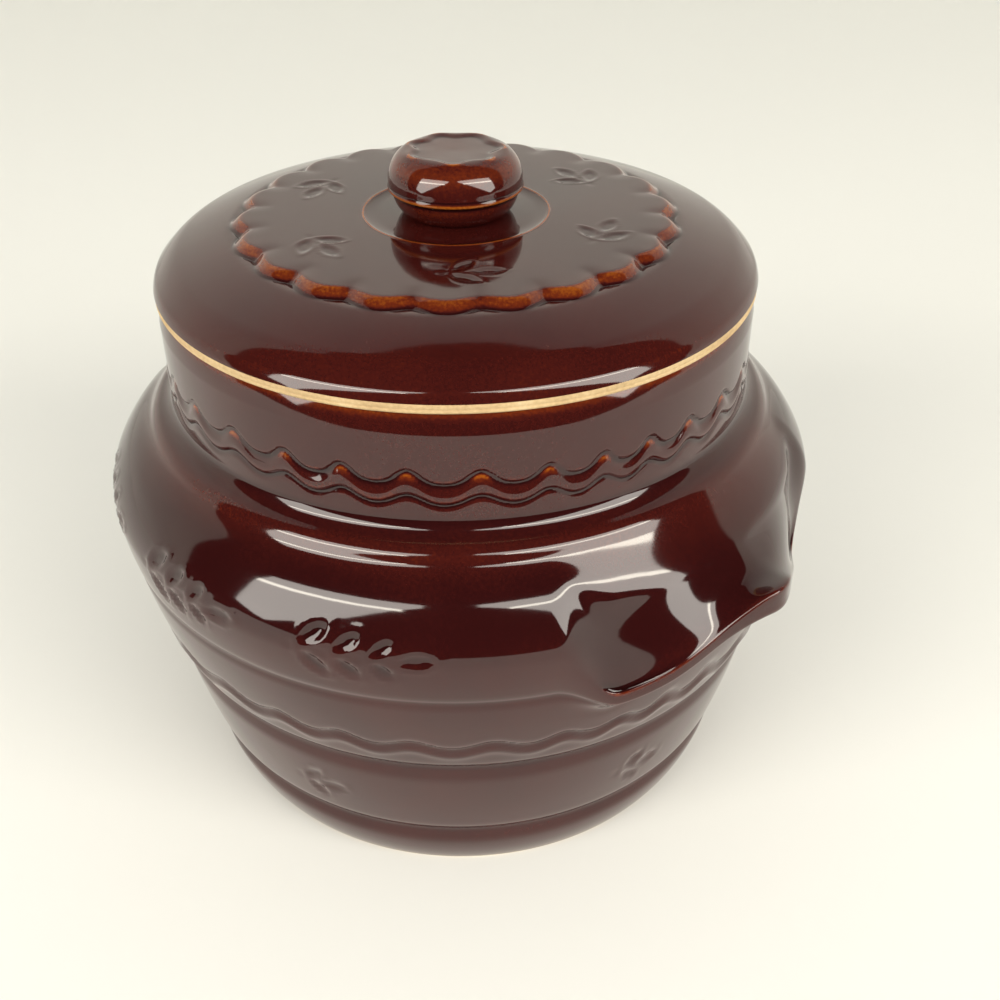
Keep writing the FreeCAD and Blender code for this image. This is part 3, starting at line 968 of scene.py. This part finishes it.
# %% Bare clay
GRAIN_SIZE = 0.9
GRAIN_SHARE = 0.45
STAIN_SIZE = 14.0
STAIN_SHARE = 0.6
CLAY_COLOURS = [(0.2, "#a88a60"), (0.5, "#c9ad80"), (0.8, "#dcc79e")]

def clay_material():
    """Dry clay: a fine grain over broad faint stains."""
    material, tree = new_material("bare_fired_stoneware")
    place = add_node(tree, "ShaderNodeTexCoord").outputs["Object"]
    grain = noise(tree, place, GRAIN_SIZE, 4.0)
    stain = noise(tree, place, STAIN_SIZE, 2.0)
    stained = scaled(tree, stain, STAIN_SHARE, -0.05)
    colour = ramp(tree, scaled(tree, grain, GRAIN_SHARE, stained), CLAY_COLOURS)
    bump = add_node(tree, "ShaderNodeBump", Height=grain, Strength=0.25, Distance=0.15 * MM)
    surface = add_node(
        tree, "ShaderNodeBsdfPrincipled", Base_Color=colour, Roughness=0.85, Normal=bump.outputs["Normal"]
    )
    add_node(tree, "ShaderNodeOutputMaterial", Surface=surface.outputs[0])
    return material

clay = clay_material()
print("material", clay.name)

# %% Put the pieces on their bodies
def finish_piece(piece, material, slot, body, *nodes):
    """Gives a piece its material, makes it ride on its body and stand for its CAD nodes; slot is not used."""
    piece.data.materials.append(material)
    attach(piece, body)
    if nodes:
        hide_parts(*nodes)

finish_piece(pot_glaze, glaze, "brown_glaze", "pot", "pot_body", "lug_handle_right", "lug_handle_left")
finish_piece(pot_inside, glaze, "brown_glaze", "pot", "pot_body")
finish_piece(pot_rim_clay, clay, "bare_clay", "pot", "pot_body")
finish_piece(pot_foot_clay, clay, "bare_clay", "pot", "pot_body")
finish_piece(lid_glaze, glaze, "brown_glaze", "lid", "lid")
finish_piece(lid_inside, glaze, "brown_glaze", "lid", "lid")
finish_piece(lid_clay, clay, "bare_clay", "lid", "lid")
finish_piece(knob, glaze, "brown_glaze", "lid", "lid_knob")
print("pieces on the pot and the lid are finished")

# %% [markdown]
# ## Table, backdrop and light
#
# The pot stands on a pale table with pale walls behind it and at its sides. The room behind the
# camera is dark, with a bright window to the left and the right, and a dark gap between the two that
# widens downwards, so that each patch of light in the glaze narrows to a point. The cards have the
# windows' shape, and a thin lamp hangs in front of each.

# %% Table and backdrop
def facing(azimuth, elevation, distance):
    """A place seen from the pot: azimuth 0 is the camera's side, positive to the camera's right."""
    turn_angle = math.radians(azimuth - 45.0)
    rise = math.radians(elevation)
    level = math.cos(rise) * distance
    return Vector((math.cos(turn_angle) * level, math.sin(turn_angle) * level, math.sin(rise) * distance))

def stage_mesh(name, points, faces, material):
    """A piece of the set, which belongs to no body of the pot."""
    mesh = bpy.data.meshes.new(name)
    mesh.from_pydata(points, [], faces)
    mesh.shade_smooth()
    mesh.materials.append(material)
    piece = bpy.data.objects.new(name, mesh)
    bpy.context.scene.collection.objects.link(piece)
    return piece

def paper_material():
    """Matt pale paper."""
    material, tree = new_material("pale_paper")
    surface = add_node(
        tree, "ShaderNodeBsdfPrincipled", Base_Color=linear("#efefea"), Roughness=0.9, Specular_IOR_Level=0.1
    )
    add_node(tree, "ShaderNodeOutputMaterial", Surface=surface.outputs[0])
    return material

TABLE_REACH = 1.3
TABLE_FRONT = 0.4
WALL_TOP = 3.4
WALL_LEAN = 0.35
OPEN_ANGLES = (math.radians(82.0), math.radians(112.0))

def table_and_walls():
    """A level table that is cut off near the camera, and curves up into a wall on its three other sides."""
    azimuth = np.linspace(0.0, 2.0 * np.pi, 96, endpoint=False)
    off_front = np.abs((azimuth + np.pi) % (2 * np.pi) - np.pi)
    walled = smoothstep(*OPEN_ANGLES, off_front)
    front = TABLE_FRONT / np.maximum(np.cos(azimuth), 0.05)
    reach = np.where(np.cos(azimuth) > 0.0, np.minimum(front, TABLE_REACH), TABLE_REACH)
    rings = [(share * reach, 0.0 * azimuth) for share in np.linspace(0.02, 1.0, 24)]
    for climb in np.linspace(0.05, 1.0, 20):
        lean = WALL_LEAN * smoothstep(0.0, 0.35, climb)
        rings.append((reach + lean * walled, climb**1.6 * WALL_TOP * walled))
    radius = np.array([ring[0] for ring in rings])
    height = np.array([ring[1] for ring in rings])
    around = azimuth[None, :] - math.radians(45.0)
    points = np.stack([radius * np.cos(around), radius * np.sin(around), height - 0.0001], axis=-1)
    rows, columns, _ = points.shape
    index = np.arange(rows * columns).reshape(rows, columns)
    across = np.roll(index, -1, axis=1)
    quads = np.stack([index[:-1], index[1:], across[1:], across[:-1]], axis=-1).reshape(-1, 4).tolist()
    return points.reshape(-1, 3).tolist(), quads + [index[0].tolist()]

points, faces = table_and_walls()
stage_mesh("table_and_walls", points, faces, paper_material())
print("table and walls faces", len(faces))

# %% Window light
def light_material(name, colour, strength):
    """An even glow."""
    material, tree = new_material(name)
    glow = add_node(tree, "ShaderNodeEmission", Color=linear(colour), Strength=strength)
    add_node(tree, "ShaderNodeOutputMaterial", Surface=glow.outputs[0])
    return material

def light_card(name, corners, distance, material):
    """A flat card of light, given by the directions of its corners as seen from the pot."""
    middle = Vector((0.0, 0.0, 0.1))
    points = [tuple(facing(azimuth, elevation, distance) + middle) for azimuth, elevation in corners]
    return stage_mesh(name, points, [tuple(range(len(points)))], material)

window_glow = light_material("window_glow", "#fffbf2", 6.6)
lamp_glow = light_material("lamp_glow", "#fff9ea", 20.0)
WINDOW_DISTANCE = 2.0
LAMP_DISTANCE = 1.5
WINDOW_LEFT = [(-14, 41), (-14, 37), (-58, -4), (-68, 4), (-66, 34)]
WINDOW_RIGHT = [(4, 42), (4, 39), (58, -4), (68, 4), (66, 34)]
LAMP_LEFT = [(-20, 33), (-20, 31), (-66, 23), (-66, 26)]
LAMP_RIGHT = [(14, 35), (14, 33), (66, 23), (66, 26)]
light_card("window_left", WINDOW_LEFT, WINDOW_DISTANCE, window_glow)
light_card("window_right", WINDOW_RIGHT, WINDOW_DISTANCE, window_glow)
light_card("lamp_left", LAMP_LEFT, LAMP_DISTANCE, lamp_glow)
light_card("lamp_right", LAMP_RIGHT, LAMP_DISTANCE, lamp_glow)
print("two windows and two lamps")

# %% Room
DARK_ROOM = 0.02
SKY_FILL = 0.34
world = bpy.data.worlds.new("room")
world.use_nodes = True
bpy.context.scene.world = world
tree = world.node_tree
tree.nodes.clear()
path = add_node(tree, "ShaderNodeLightPath").outputs

def sky(colour, strength):
    """An even sky of one colour."""
    return add_node(tree, "ShaderNodeBackground", Color=linear(colour), Strength=strength).outputs[0]

def either(ray, plain, special):
    """The plain sky, or the special one for this kind of ray."""
    return add_node(tree, "ShaderNodeMixShader", _0=path[ray], _1=plain, _2=special).outputs[0]

mirrored = either("Is Glossy Ray", sky("#f8f9ff", SKY_FILL), sky("#b0a8a0", DARK_ROOM))
shown = either("Is Camera Ray", mirrored, sky("#f6f1e7", 1.0))
add_node(tree, "ShaderNodeOutputWorld", Surface=shown)
print("room done")
